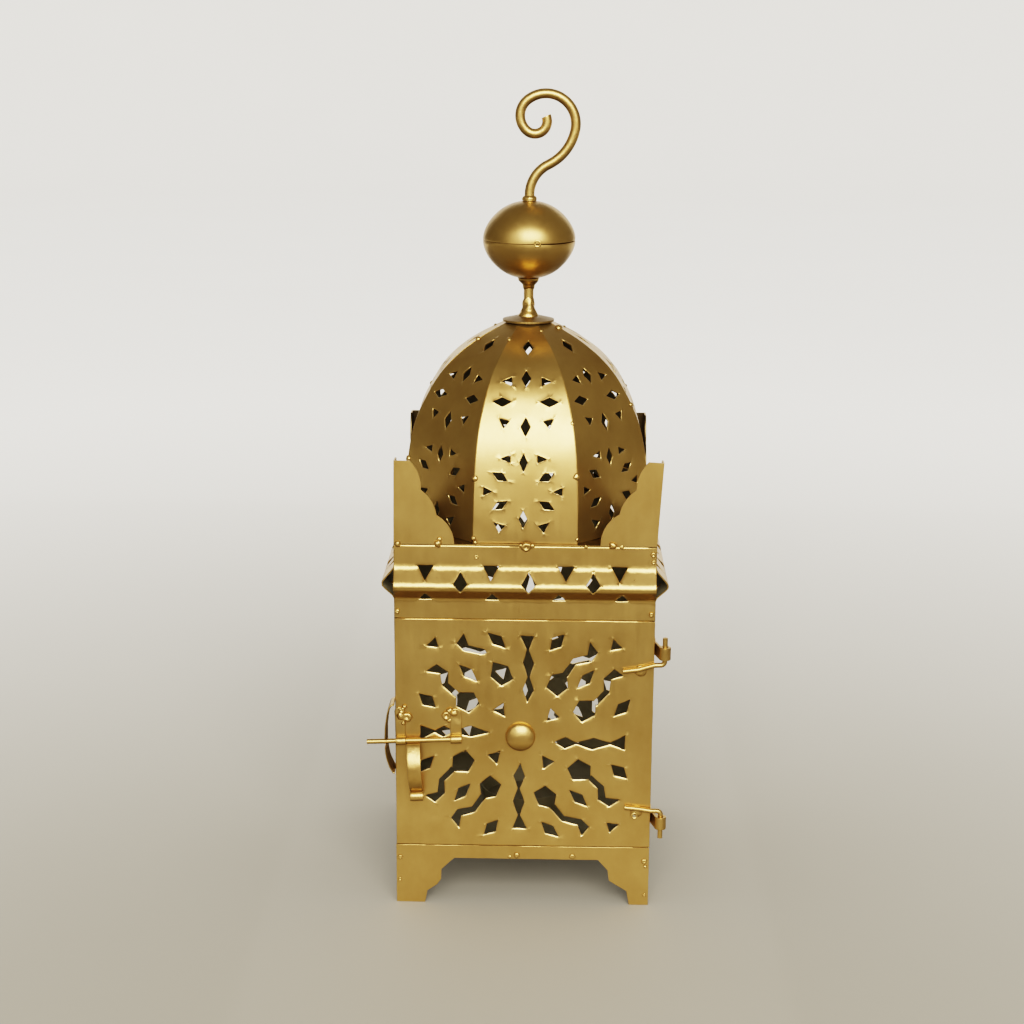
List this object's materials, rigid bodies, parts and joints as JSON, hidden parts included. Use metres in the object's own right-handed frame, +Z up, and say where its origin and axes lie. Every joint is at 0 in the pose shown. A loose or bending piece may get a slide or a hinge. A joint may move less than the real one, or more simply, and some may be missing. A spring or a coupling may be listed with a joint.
{
  "type": "candle lantern",
  "caption": "Square sheet-metal candle lantern on arched feet, with a pierced hinged door, side bolt, pierced eight-sided dome, ball finial and scrolled hanging hook.",
  "frame": {"origin": "bottom centre of the whole lantern's box, on the floor the feet stand on; the square body's centre is 3.0 mm towards +X and 1.6 mm towards +Y of it, because the bolt, the hinges and the door's boss stick out unequally", "axes": "+Z up; the door faces -Y, the hinges are on +X and the latch is on -X"},
  "size_m": [0.1523, 0.1461, 0.4105],
  "materials": {
    "panel_gold": "satin gold paint on flat sheet, brushed up and down",
    "moulding_gold": "satin gold paint, brighter on the bends and edges",
    "dome_gold": "glossier satin gold paint",
    "wire_gold": "satin gold paint on wire and straps",
    "solder_gold": "gold paint over lumps of solder"
  },
  "bodies": {
    "body": {"back_wall": "panel_gold", "ball_lower_half": "dome_gold", "ball_upper_half": "dome_gold", "candle_cup": "panel_gold", "cap_plate": "dome_gold", "crest_back_left": "moulding_gold", "crest_back_right": "moulding_gold", "crest_front_left": "moulding_gold", "crest_front_right": "moulding_gold", "dome_gore_1": "dome_gold", "dome_gore_2": "dome_gold", "dome_gore_3": "dome_gold", "dome_gore_4": "dome_gold", "dome_gore_5": "dome_gold", "dome_gore_6": "dome_gold", "dome_gore_7": "dome_gold", "dome_gore_8": "dome_gold", "floor_plate": "panel_gold", "front_frame": "panel_gold", "hinge_eye_lower": "wire_gold", "hinge_eye_upper": "wire_gold", "hook_rod": "wire_gold", "left_wall": "panel_gold", "moulding_back": "moulding_gold", "moulding_front": "moulding_gold", "moulding_left": "moulding_gold", "moulding_right": "moulding_gold", "right_wall": "panel_gold", "roof_deck": "moulding_gold", "side_keeper": "wire_gold", "skirt_back": "panel_gold", "skirt_front": "panel_gold", "skirt_left": "panel_gold", "skirt_right": "panel_gold", "solder_beads": "solder_gold", "stem_solder": "solder_gold"},
    "door": {"door_panel": "panel_gold", "door_boss": "wire_gold", "hinge_arm_upper": "wire_gold", "hinge_arm_lower": "wire_gold", "bolt_keeper_left": "wire_gold", "bolt_keeper_right": "wire_gold", "keeper_solder": "solder_gold"},
    "bolt": {"bolt_rod": "wire_gold"},
    "handle": {"bolt_handle": "wire_gold"}
  },
  "joints": [
    {"name": "door_hinge", "type": "hinge", "parent": "body", "child": "door", "pos_m": [0.0732, -0.06465, 0.09], "axis": [0, 0, 1], "range_deg": [0, 250]},
    {"name": "bolt_slide", "type": "slide", "parent": "door", "child": "bolt", "axis": [0.9991, 0, 0.0419], "range_m": [0, 0.0145]},
    {"name": "handle_swing", "type": "hinge", "parent": "bolt", "child": "handle", "pos_m": [-0.052, -0.0658, 0.0901], "axis": [-0.9991, 0, -0.0419], "range_deg": [0, 140]}
  ]
}
